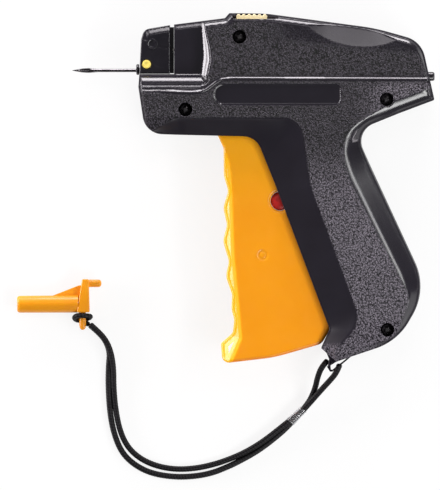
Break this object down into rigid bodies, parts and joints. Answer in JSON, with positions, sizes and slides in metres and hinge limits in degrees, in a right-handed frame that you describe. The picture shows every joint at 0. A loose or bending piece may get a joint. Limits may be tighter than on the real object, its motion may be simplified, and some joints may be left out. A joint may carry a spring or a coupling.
{
  "type": "garment tag attacher",
  "caption": "Hand-held garment tagging gun lying on its side: hollow needle, squeeze trigger, push-rod drive, feed slot, and a capped cord at the heel.",
  "frame": {"origin": "centre of the body's footprint, on the flat of the right side that it lies on; the cord and cap are not counted", "axes": "+X to the rear (the needle points to -X), +Y to the top of the head, +Z out of the left side (the parting plane is square to Z)"},
  "size_m": [0.1754, 0.1958, 0.029],
  "materials": {
    "charcoal_plastic": "pebble grained",
    "smooth_black_plastic": "smooth satin",
    "orange_plastic": "smooth moulded",
    "cap_orange": "soft moulded",
    "yellow_plastic": "smooth moulded",
    "red_rubber": "satin",
    "dark_steel": "polished dark",
    "pin_steel": "plain",
    "spring_steel": "bright",
    "natural_nylon": "natural",
    "black_cord": "braided",
    "clear_sleeve": "clear"
  },
  "bodies": {
    "housing": {"left_shell": "charcoal_plastic", "right_shell": "charcoal_plastic", "shell_screws": "dark_steel", "nose_block": "smooth_black_plastic", "needle": "dark_steel", "needle_base": "smooth_black_plastic", "lock_button_spring": "spring_steel", "cutter_blade": "spring_steel", "feed_wheel_pin": "pin_steel", "index_spring": "spring_steel", "trigger_pivot_pin": "pin_steel", "lever_pivot_pin": "pin_steel", "return_spring": "spring_steel", "slider_detent_spring": "spring_steel", "rear_stop_plug": "smooth_black_plastic", "cord_strand_a": "black_cord", "cord_strand_b": "black_cord", "cord_sleeve": "clear_sleeve", "cord_hitch": "black_cord", "needle_cap": "cap_orange"},
    "trigger_body": {"trigger": "orange_plastic", "trigger_buffer": "red_rubber", "trigger_link_pin": "orange_plastic"},
    "links_body": {"drive_links": "pin_steel"},
    "lever_body": {"drive_lever": "pin_steel", "lever_link_pin": "pin_steel"},
    "carriage_body": {"carriage": "natural_nylon", "carriage_pin": "pin_steel", "push_rod": "spring_steel"},
    "feed_wheel_body": {"feed_wheel": "natural_nylon"},
    "slider_body": {"feed_release_slider": "yellow_plastic"},
    "button_body": {"needle_lock_button": "yellow_plastic"}
  },
  "joints": [
    {"name": "trigger_squeeze", "type": "hinge", "parent": "housing", "child": "trigger_body", "pos_m": [-0.0056, 0.0283, 0.0145], "axis": [0, 0, 1], "range_deg": [0, 16], "stiffness_Nm_per_rad": 1, "springref_deg": -17.19},
    {"name": "link_swing", "type": "hinge", "parent": "trigger_body", "child": "links_body", "pos_m": [0.0039, -0.0263, 0.0145], "axis": [0, 0, 1], "range_deg": [-21.6, 0]},
    {"name": "lever_swing", "type": "hinge", "parent": "housing", "child": "lever_body", "pos_m": [0.0331, -0.0015, 0.0145], "axis": [0, 0, 1], "range_deg": [0, 36.8]},
    {"name": "carriage_slide", "type": "slide", "parent": "housing", "child": "carriage_body", "axis": [1, 0, 0], "range_m": [-0.0312, 0]},
    {"name": "feed_wheel_turn", "type": "hinge", "parent": "housing", "child": "feed_wheel_body", "pos_m": [-0.0289, 0.0598, 0.0145], "axis": [0, 0, 1], "range_deg": [0, 30.1]},
    {"name": "release_slide", "type": "slide", "parent": "housing", "child": "slider_body", "axis": [1, 0, 0], "range_m": [-0.0012, 0.004]},
    {"name": "lock_button_press", "type": "slide", "parent": "housing", "child": "button_body", "axis": [0, 0, 1], "range_m": [-0.0009, 0], "stiffness_N_per_m": 400, "springref_m": 0.001, "deforming": ["lock_button_spring"]}
  ],
  "couplings": [
    {"joint": "link_swing", "follows": "trigger_squeeze", "ratio": -1.339},
    {"joint": "lever_swing", "follows": "trigger_squeeze", "ratio": 2.2875},
    {"joint": "carriage_slide", "follows": "trigger_squeeze", "m_per_rad": -0.1114},
    {"joint": "feed_wheel_turn", "follows": "trigger_squeeze", "ratio": 1.875}
  ]
}
